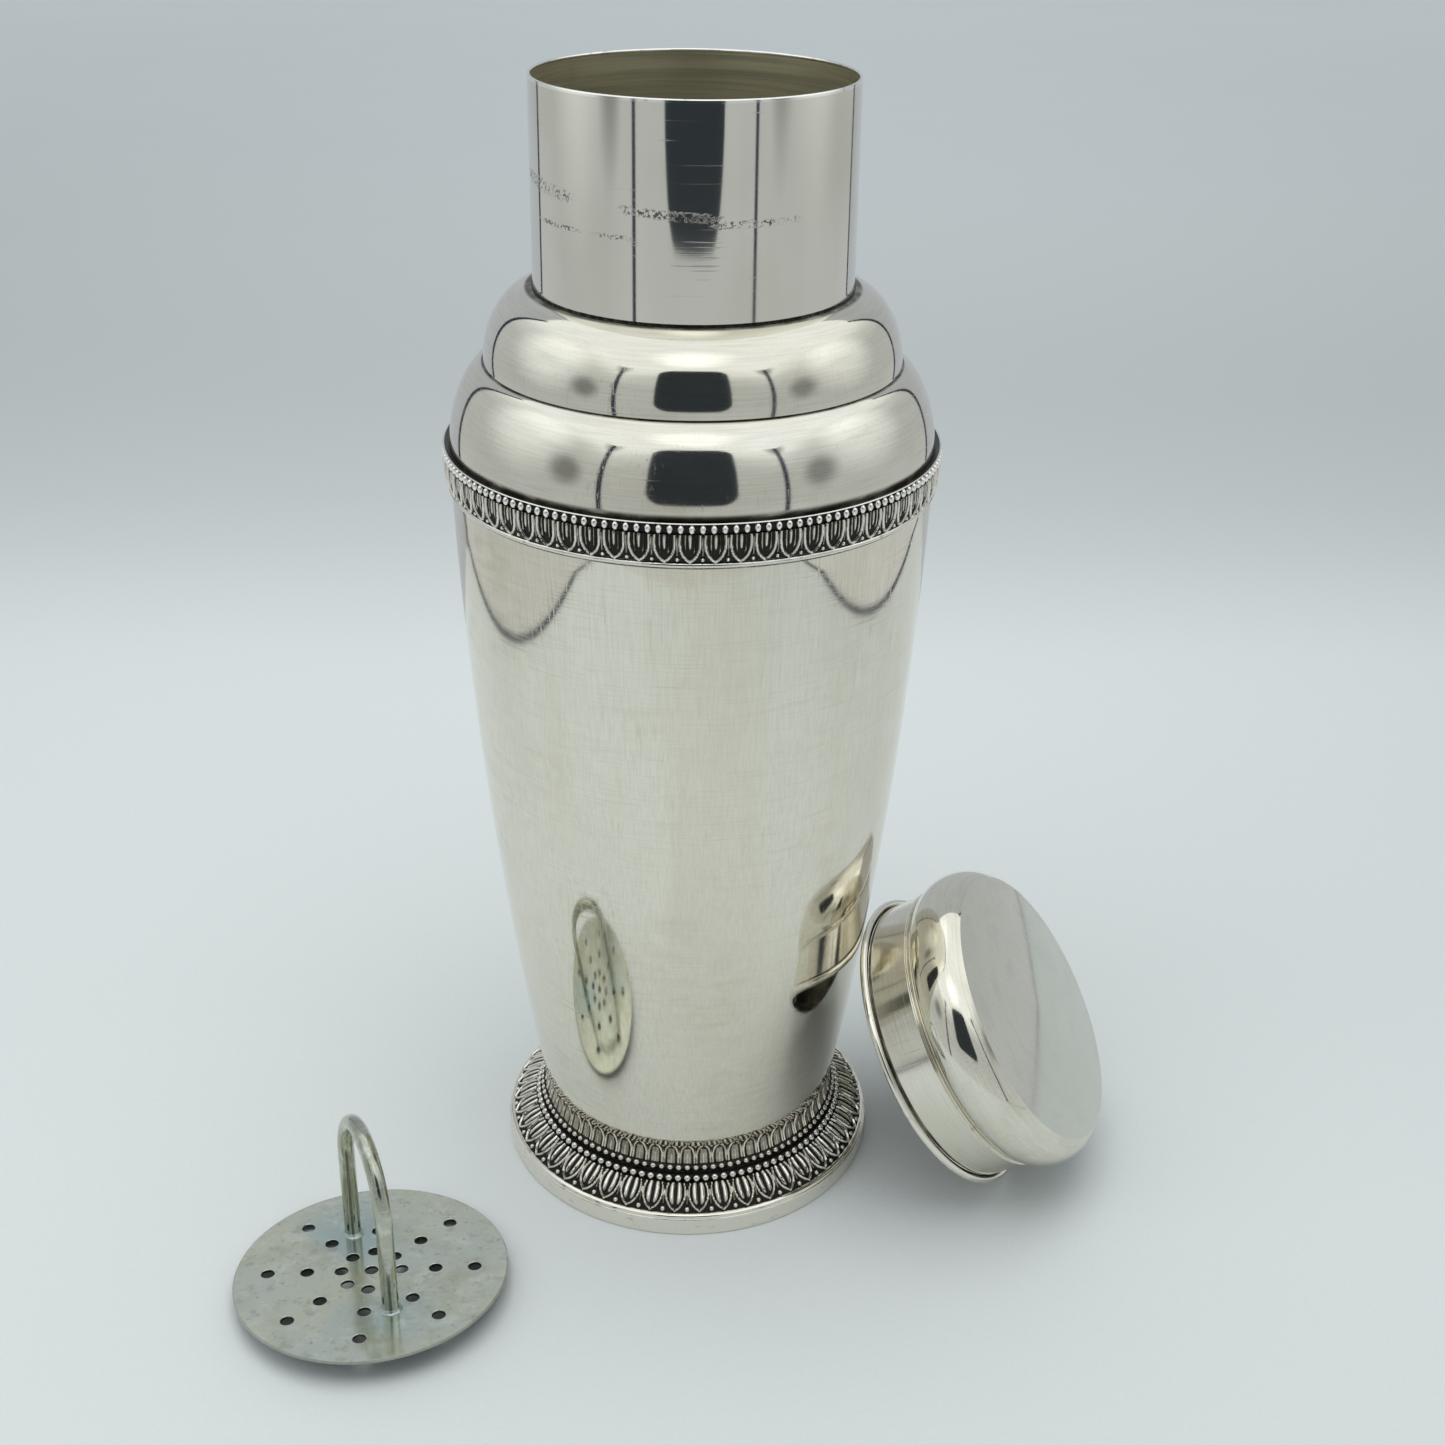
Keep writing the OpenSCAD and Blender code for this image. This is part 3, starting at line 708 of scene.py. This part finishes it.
def shoulder(mat):
    """The two rounded steps from the band up to the neck."""
    start_r = ring_size("body_shell")[1]
    _, _, low, crease = ring_size("lower_shoulder")
    hole_r, crease_r, _, top = ring_size("upper_shoulder")
    neck_r = ring_size("neck_tube")[1]

    foot_r = crease_r - LEDGE
    centre = (foot_r - 0.6, low)
    size = (start_r - centre[0], crease + 0.04 - low)
    outer = bulge(centre, size, 1.8, foot_r)
    inner = bulge(centre, (size[0] - WALL, size[1] - WALL), 1.8, foot_r)
    ledge = [(crease_r - WALL, crease), (crease_r - WALL, crease - WALL)]
    turn_piece("lower_shoulder", outer + ledge + inner[::-1], mat["lower_shoulder"], turns=FINE_TURNS)

    centre = (neck_r - 0.26, crease)
    size = (crease_r - centre[0], top + 0.1 - crease)
    outer = bulge(centre, size, 2, neck_r + SEAM_W)
    inner = bulge(centre, (size[0] - WALL, size[1] - WALL), 2, hole_r)
    turn_piece("upper_shoulder", outer + inner[::-1], mat["upper_shoulder"], turns=FINE_TURNS)


def neck(mat):
    """The neck with its unpolished inside, rounded lip and soldered seam, and the strainer's seat."""
    inner, outer, low, top = ring_size("neck_tube")
    wall = lathe([(inner, low), (outer + 0.12, low), (outer - 0.1, top), (inner, top)], FINE_TURNS)
    sleeve = make_piece("neck_tube", wall, mat["neck"])
    sleeve.data.materials.append(mat["inside"])
    for face in sleeve.data.polygons:
        middle = face.center
        if math.hypot(middle.x, middle.y) / MM < (inner + outer) / 2 and abs(face.normal.z) < 0.5:
            face.material_index = 1

    seam_out = outer + SEAM_W
    outer -= 0.1
    _, _, low, top = ring_size("neck_lip")
    half = (outer - inner) / 2
    arch = [((inner + outer) / 2 + half * math.cos(a), top - half + half * math.sin(a))
            for a in np.linspace(0, math.pi, 13)]
    turn_piece("neck_lip", [(inner, low), (outer, low)] + arch, mat["lip"],
               turns=FINE_TURNS)
    seam_in, _, low, top = ring_size("neck_seam")
    seam = [(seam_in, low), (seam_out - 0.02, low), (seam_out - 0.1, top - 0.3), (seam_in + 1, top),
            (seam_in, top)]
    turn_piece("neck_seam", rounded(seam, 0.1), mat["seam"])
    turn_piece("strainer_seat", rounded(block(*ring_size("strainer_seat")), 0.2), mat["inside"])


# ---- cap

def cap(mat):
    """The cap: rolled rim, straight collar, double crease wire, bulged side and shallow top."""
    def part(node, points, material, turns=TURNS):
        turn_piece(node, points, mat[material], "cap", CAP, turns)

    inner, out, _, roll_top = ring_size("cap_rim", CAP)
    roll = roll_top / 2
    bead = [(out - roll + roll * math.cos(a), roll + roll * math.sin(a))
            for a in np.linspace(-math.pi / 2, math.pi * 0.62, 18)]
    part("cap_rim", [(inner, 0)] + bead + [(out - 1.9, roll_top - 0.35), (out - 2.3, roll_top),
                                           (inner, roll_top)], "rim")

    _, collar_r, low, top = ring_size("cap_collar", CAP)
    part("cap_collar", [(inner, low), (collar_r - 0.1, low), (collar_r, low + 0.1), (collar_r, top),
                        (inner, top)], "cap_collar")
    _, wire_r, wire_low, wire_top = ring_size("cap_crease_wire", CAP)
    half = (wire_top - wire_low) / 4
    ridges = [(collar_r + 0.01, wire_low)]
    for middle in (wire_low + half, wire_low + 3 * half):
        ridges += [(collar_r + 0.02 + (wire_r - collar_r - 0.02) * math.sin(a),
                    middle - half * math.cos(a)) for a in np.linspace(0.1, math.pi - 0.1, 7)]
    part("cap_crease_wire", ridges + [(collar_r + 0.01, wire_top)], "rim")

    _, bulge_r, low, top = ring_size("cap_bulge", CAP)
    _, top_r, top_low, top_high = ring_size("cap_top", CAP)
    middle = low + CAP_WIDEST
    lower = bow((collar_r - 0.1, low), (bulge_r, middle), 0.55, 14)
    upper = bow((bulge_r, middle), (top_r, top), 1.15, 20)
    outer = smooth_line(lower + upper[1:])
    inside = [(r - CAP_WALL, z) for r, z in upper[-3:0:-1] + lower[:5:-1]]
    part("cap_bulge", [(inner, low)] + outer + [(top_r - 1, top)] + inside, "cap", turns=FINE_TURNS)
    dome = bow((top_r, top_low), (0, top_high), 0.35, 24)
    dome[-1] = (0, dome[-1][1])
    part("cap_top", dome + [(0, top_high - 1), (top_r - 8, top_low), (top_r - 1, top_low)], "cap_top",
         turns=FINE_TURNS)


def smooth_line(points, rounds=3):
    """Evens out a line of points, with its ends held."""
    line = np.array(points, float)
    for _ in range(rounds):
        line[1:-1] = 0.25 * line[:-2] + 0.5 * line[1:-1] + 0.25 * line[2:]
    return [tuple(p) for p in line]


# ---- strainer

def cut_holes(shape, places, r, low, top, chamfer=0.1, past=0.5):
    """Cuts upright round holes of radius r at places (x, y) through a plate from low to top, in mm."""
    flare = r + chamfer + past
    pin, pin_faces = lathe([(0, low - past), (flare, low - past), (r, low + chamfer), (r, top - chamfer),
                            (flare, top + past), (0, top + past)], 32)
    pins = [(a + x * MM, b + y * MM, c) for x, y in places for a, b, c in pin]
    loops = [[i + n * len(pin) for i in face] for n in range(len(places)) for face in pin_faces]
    solids = [in_scene("plate", outward_mesh("plate", *shape)),
              in_scene("punch", outward_mesh("punch", pins, loops))]
    plate, punch = solids
    change = plate.modifiers.new("holes", "BOOLEAN")
    change.operation, change.solver, change.object = "DIFFERENCE", "EXACT", punch
    done = plate.evaluated_get(bpy.context.evaluated_depsgraph_get()).to_mesh()
    result = ([tuple(v.co) for v in done.vertices], [list(f.vertices) for f in done.polygons])
    for solid in solids:
        mesh = solid.data
        bpy.data.objects.remove(solid)
        bpy.data.meshes.remove(mesh)
    return result


def tube(path, radius, sides=28, end_scale=0.86, end_length=0.25):
    """A round wire along a smooth path, with slightly domed ends. Points are in mm."""
    path = np.array(path, float)
    ahead = np.gradient(path, axis=0)
    ahead /= np.linalg.norm(ahead, axis=1)[:, None]
    across = np.array([0.0, 1.0, 0.0])
    out = np.cross(ahead, across)
    out /= np.linalg.norm(out, axis=1)[:, None]
    path, out = (np.vstack([line[:1], line, line[-1:]]) for line in (path, out))
    path[1] += ahead[0] * end_length
    path[-2] -= ahead[-1] * end_length
    size = np.full((len(path), 1, 1), radius)
    size[[0, -1]] *= end_scale
    angle = (np.arange(sides) * 2 * math.pi / sides)[None, :, None]
    verts = path[:, None] + size * (out[:, None] * np.cos(angle) + across * np.sin(angle))
    verts = verts.reshape(-1, 3) * MM
    faces = loop_faces(len(path), sides)[:-sides]
    faces += [list(range(sides)), list(range(len(verts) - sides, len(verts)))]
    return verts, faces


def strainer(mat):
    """The holed disc, the bail bent from one wire, and the solder round the bail's two feet."""
    _, disc_r, low, top = ring_size("strainer_disc", STRAINER)
    disc = lathe(rounded(block(0, disc_r, low, top), 0.16), 240)
    places = [(0, 0)]
    for ring in HOLE_RINGS:
        for i in range(HOLE_COUNT):
            a = 2 * math.pi * i / HOLE_COUNT + math.radians(HOLE_TURN)
            places.append((ring * math.cos(a), ring * math.sin(a)))
    make_piece("strainer_disc", cut_holes(disc, places, HOLE_R, low, top), mat["tin"], "strainer",
               STRAINER)

    frame_at = STRAINER @ Matrix.Rotation(math.radians(BAIL_TURN), 4, "Z")
    co = node_points("strainer_bail", frame_at)
    wire_r = (co[:, 1].max() - co[:, 1].min()) / 2
    half = co[:, 0].max() - wire_r
    leg_top = co[:, 2].max() - wire_r - half
    near_low = co[:, 2].min()
    far_low = co[co[:, 0] > 0, 2].min()
    legs = 12
    path = [(half, 0, z) for z in np.linspace(far_low, leg_top, legs)[:-1]]
    path += [(half * math.cos(a), 0, leg_top + half * math.sin(a)) for a in np.linspace(0, math.pi, 49)]
    path += [(-half, 0, z) for z in np.linspace(leg_top, near_low, legs)[1:]]
    make_piece("strainer_bail", tube(path, wire_r), mat["bail"], "strainer", frame_at)
    for side, node in ((1, "far_solder"), (-1, "near_solder")):
        foot_at = frame_at @ Matrix.Translation((side * half * MM, 0, 0))
        _, out, base, rise = ring_size(node, foot_at)
        ring = [(wire_r - 0.02, base), (out - 0.25, base), (out - 0.35, base + 0.12),
                (wire_r + 0.35, base + 0.32), (wire_r + 0.12, rise - 0.1), (wire_r - 0.02, rise)]
        verts, faces = lathe(rounded(ring, 0.15, 3), 48)
        lumpy = []
        for x, y, z in verts:
            a = math.atan2(y, x)
            r = math.hypot(x, y) / MM
            swell = (r - wire_r) * (0.16 * math.sin(2 * a + side) + 0.1 * math.sin(5 * a)) - 0.08
            grow = 1 + min(0.0, swell) / max(r, 1e-3) if r > wire_r + 0.05 else 1
            lumpy.append((x * grow, y * grow, z))
        make_piece(node, (lumpy, faces), mat["solder"], "strainer", foot_at)


# ---- stage

def stage_plane(name, corners, material, only_reflected=True):
    """A flat sheet from its corners. Reflected sheets light nothing and hide from the camera."""
    mesh = bpy.data.meshes.new(name)
    mesh.from_pydata(corners, [], [list(range(len(corners)))])
    mesh.materials.append(material)
    sheet = in_scene(name, mesh)
    if only_reflected:
        sheet.visible_camera = sheet.visible_diffuse = sheet.visible_shadow = False
        sheet.visible_transmission = sheet.visible_volume_scatter = False


def upright(a, b):
    """Corners of a tent-high sheet between two points of the floor."""
    return [(*a, 0), (*b, 0), (*b, TENT_H), (*a, TENT_H)]


def glow(name, colour, heights=(), zones=()):
    """A softly lit sheet: brighter by height, dimmer or brighter in zones (centre, radius, share)."""
    tree = Tree(name, staged=True)
    tone = tree.blend(tree.span(tree.noise((5, 5, 5)), 0.3, 0.7), shaded(colour, 0.95), colour)
    strength = 1.0
    if heights:
        over = 4.0                 # a colour ramp holds no more than 1
        strength = tree.ramp(tree.z, 0, TENT_H, [(z, (share / over,) * 3) for z, share in heights])
        strength = tree.times(strength, over)
    for centre, radius, share in zones:
        strength = tree.times(strength,
                              tree.span(tree.distance(centre), radius * 0.25, radius, share, 1.0))
    light = tree.nodes.new("ShaderNodeEmission")
    tree.put(light.inputs["Color"], tone)
    tree.put(light.inputs["Strength"], strength)
    tree.links.new(light.outputs[0], tree.out.inputs[0])
    return tree.material


def tent():
    """The white light tent round the set: walls, roof, dark seams and the opening in front."""
    wall = glow("tent_wall", CLOTH, RISING, SIDE_ZONES + CORNER_ZONES)
    front = glow("tent_front", CLOTH, RISING, CORNER_ZONES)
    back = glow("tent_back", (0.49, 0.52, 0.55))
    roof = glow("tent_roof", (1.10, 1.14, 1.16), (), ROOF_ZONES)
    seam = glow("tent_seam", (0.025, 0.03, 0.06))
    dark = glow("tent_opening", (0.032, 0.040, 0.048))

    for name, start, end, material in (("left", "front_left", "back_left", wall),
                                       ("right", "front_right", "back_right", wall),
                                       ("back", "back_left", "back_right", back),
                                       ("front", "front_left", "front_right", front)):
        stage_plane("tent_" + name, upright(TENT[start], TENT[end]), material)
    stage_plane("tent_roof", [(*corner, TENT_H) for corner in TENT.values()], roof)
    for name, (x, y) in TENT.items():
        sx, sy = math.copysign(1, x), math.copysign(1, y)
        x, y = x - sx * SEAM_OFF, y - sy * SEAM_OFF
        stage_plane("seam_" + name, upright((x - sx * TENT_SEAM, y), (x, y - sy * TENT_SEAM)), seam)
    for name, ends in HEMS.items():
        stage_plane("hem_" + name, [(x + side * HEM_HALF, y, HEM_Z) for (x, y), sides in
                                    zip(ends, ((-1, 1), (1, -1))) for side in sides], seam)

    left, right = SLIT_CORNER - SLIT_HALF, SLIT_HALF - SLIT_CORNER
    low, high = SLIT_LOW + SLIT_CORNER, SLIT_HIGH - SLIT_CORNER
    outline = []
    for x, z, start in ((right, low, -90), (right, high, 0), (left, high, 90), (left, low, 180)):
        for turn in np.radians(start + np.arange(0, 91, 15)):
            outline.append((x + SLIT_CORNER * math.cos(turn), SLIT_Y, z + SLIT_CORNER * math.sin(turn)))
    stage_plane("tent_opening", outline, dark)


def floor():
    """Pale matt table that darkens softly behind the set, with a painted pool of light further back in the
    middle.
    """
    tree = Tree("pale_table", staged=True)
    depth = tree.ramp(tree.y, -0.6, 2.4, [(y, shaded(TABLE_TONE, share)) for y, share in TABLE_SHADE])
    weave = tree.noise((900, 900, 900), 3.0)
    blotch = tree.noise((9, 9, 9))
    tone = tree.blend(tree.span(blotch, 0.3, 0.8, 0.0, 0.05), depth, (0.6, 0.62, 0.62))
    tone = tree.blend(tree.span(weave, 0.35, 0.65, 0.0, 0.07), tone, (0.5, 0.52, 0.52))
    # Painted light: a brighter pool in the middle of the table far behind the set.
    middle = tree.span(tree.away(tree.x, 0.15), 0.0, 0.8, 1.0, 0.0)
    painted_back_light = tree.times(middle, tree.span(tree.y, 0.45, 1.2))
    tone = tree.blend(tree.times(painted_back_light, 0.35), tone, (0.88, 0.94, 0.945))
    material = tree.finish(tone, 0.75, tree.bump(weave, 6e-5), 0.0)
    corners = [(x * TABLE_REACH, y * TABLE_REACH, 0) for x, y in ((-1, -1), (1, -1), (1, 1), (-1, 1))]
    stage_plane("table", corners, material, False)


def lights():
    """Soft room light and two wide lamps aimed at the set."""
    world = bpy.data.worlds.new("soft_room")
    bpy.context.scene.world = world
    world.use_nodes = True
    back = world.node_tree.nodes["Background"]
    back.inputs["Color"].default_value = (0.93, 0.97, 1.0, 1)
    back.inputs["Strength"].default_value = 0.62
    for name, (place, size, power) in LAMPS.items():
        lamp = bpy.data.lights.new(name, "AREA")
        lamp.energy, lamp.size = power, size
        lamp.color = (1.0, 0.99, 0.97)
        holder = in_scene(name, lamp)
        holder.location = place
        aim = Vector((0, 0, 0.05)) - holder.location
        holder.rotation_euler = aim.to_track_quat("-Z", "Y").to_euler()
        holder.visible_glossy = False
    bpy.context.scene.view_settings.view_transform = "Standard"


def camera():
    """The camera at the photo's place and angle."""
    pitch, yaw, roll = (math.radians(a) for a in (PITCH, YAW, ROLL))
    ahead = Vector((math.sin(yaw) * math.cos(pitch), math.cos(yaw) * math.cos(pitch), -math.sin(pitch)))
    level = Vector((math.cos(yaw), -math.sin(yaw), 0))
    up = level.cross(ahead)
    right = math.cos(roll) * level + math.sin(roll) * up
    above = -math.sin(roll) * level + math.cos(roll) * up
    data = bpy.data.cameras.new("eye")
    data.sensor_width, data.lens = 36, 36 * FOCAL
    data.clip_start = 0.01
    eye = in_scene("eye", data)
    eye.matrix_world = Matrix.Translation(EYE) @ Matrix((right, above, -ahead)).transposed().to_4x4()
    bpy.context.scene.camera = eye


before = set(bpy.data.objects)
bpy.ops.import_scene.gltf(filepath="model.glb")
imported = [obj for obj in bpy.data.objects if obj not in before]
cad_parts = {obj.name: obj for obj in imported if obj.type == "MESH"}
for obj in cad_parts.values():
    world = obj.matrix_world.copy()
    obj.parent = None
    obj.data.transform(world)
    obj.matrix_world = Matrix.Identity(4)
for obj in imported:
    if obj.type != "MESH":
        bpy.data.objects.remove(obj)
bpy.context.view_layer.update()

SILVER, WARM = (0.83, 0.79, 0.69), (0.65, 0.61, 0.49)
SHOULDER, CAP_TONE = (0.78, 0.76, 0.68), (0.80, 0.775, 0.68)
BRIGHT_GROOVE, WIRE_GROOVE, OXIDE = (0.36, 0.33, 0.25), (0.15, 0.13, 0.10), (0.020, 0.018, 0.015)
CREASE_Z, SEAM_Z, COLLAR_Z = (ring_size("lower_shoulder")[3], ring_size("neck_seam")[2],
                              ring_size("cap_rim", CAP)[3])
BODY_FOOT_Z, BAND_Z, BODY_TOP_Z = (ring_size("foot_leaf_collar")[3], ring_size("band_fillet_wire")[2],
                                   ring_size("body_shell")[3])
WIRE_R, DISC = ring_size("band_top_wire")[1], ring_size("strainer_disc", STRAINER)[1::2]
BAIL_FEET = [Matrix.Rotation(math.radians(BAIL_TURN), 3, "Z") @ Vector((x * MM, 0, 0))
             for x in (BAIL_HALF, -BAIL_HALF)]
# The belts given to plated are tarnish and painted shade at creases, ledges and rims.
finishes = {
    "body": plated("body_silver", SILVER, WARM, 0.045, True,
                   ((BODY_FOOT_Z, 0.12, 0.15), (BAND_Z, 0.25, 0.2))),
    "lower_shoulder": plated("lower_shoulder_silver", SHOULDER, WARM, 0.05,
                             tarnish_and_shade=((BODY_TOP_Z, 0.75, 0.9), (CREASE_Z, 0.2, 0.15))),
    "upper_shoulder": plated("upper_shoulder_silver", SHOULDER, WARM, 0.05,
                             tarnish_and_shade=((CREASE_Z, 0.05, 0.12), (SEAM_Z, 0.05, 0.2))),
    "cap": plated("cap_silver", CAP_TONE, WARM, 0.055),
    "cap_collar": plated("cap_collar_silver", CAP_TONE, WARM, 0.13, tarnish_and_shade=((COLLAR_Z, 0.45, 0.2),)),
    "cap_top": plated("cap_top_silver", (0.685, 0.68, 0.62), (0.61, 0.61, 0.54), 0.06, True),
    "neck": scuffed_neck("neck_silver", (0.78, 0.765, 0.70), (0.70, 0.685, 0.60)),
    "rim": edged("rim_silver", (0.83, 0.80, 0.72), BRIGHT_GROOVE),
    "lip": edged("lip_silver", (0.86, 0.85, 0.80), BRIGHT_GROOVE),
    "wire": edged("wire_silver", (0.78, 0.76, 0.70), WIRE_GROOVE, 0.12),
    "top_wire": edged("top_wire_silver", (0.82, 0.80, 0.75), WIRE_GROOVE, 0.2, WIRE_R - 0.55),
    "worked": oxidised("worked_silver", (0.84, 0.81, 0.73), (0.022, 0.020, 0.017)),
    "collar": oxidised("collar_silver", (0.84, 0.775, 0.655), (0.045, 0.036, 0.026), 0.15, 0.82),
    "beads": oxidised("foot_bead_silver", (0.80, 0.78, 0.72), OXIDE, 0.36, 1.0),
    "band_beads": oxidised("band_bead_silver", (0.93, 0.92, 0.88), OXIDE, 0.25, 0.7, 0.28),
    "small_beads": oxidised("small_bead_silver", (0.78, 0.72, 0.66), (0.03, 0.026, 0.022), 0.36, 1.0, 0.26),
    "seam": dark_seam("seam_tarnish"),
    "inside": inner_wall("inner_wall"),
    "tin": tinned("strainer_plate", (0.58, 0.63, 0.56), (0.63, 0.65, 0.52), 0.11, 0.0, 0.84, BAIL_FEET,
                  DISC),
    "bail": tinned("bail_wire", (0.52, 0.535, 0.48), (0.40, 0.42, 0.33), 0.12, 0.9),
    "solder": edged("soft_solder", (0.47, 0.53, 0.52), (0.30, 0.33, 0.31), 0.24),
}
for build in (foot, body, band, shoulder, neck, cap, strainer):
    build(finishes)
for build in (tent, floor, lights, camera):
    build()
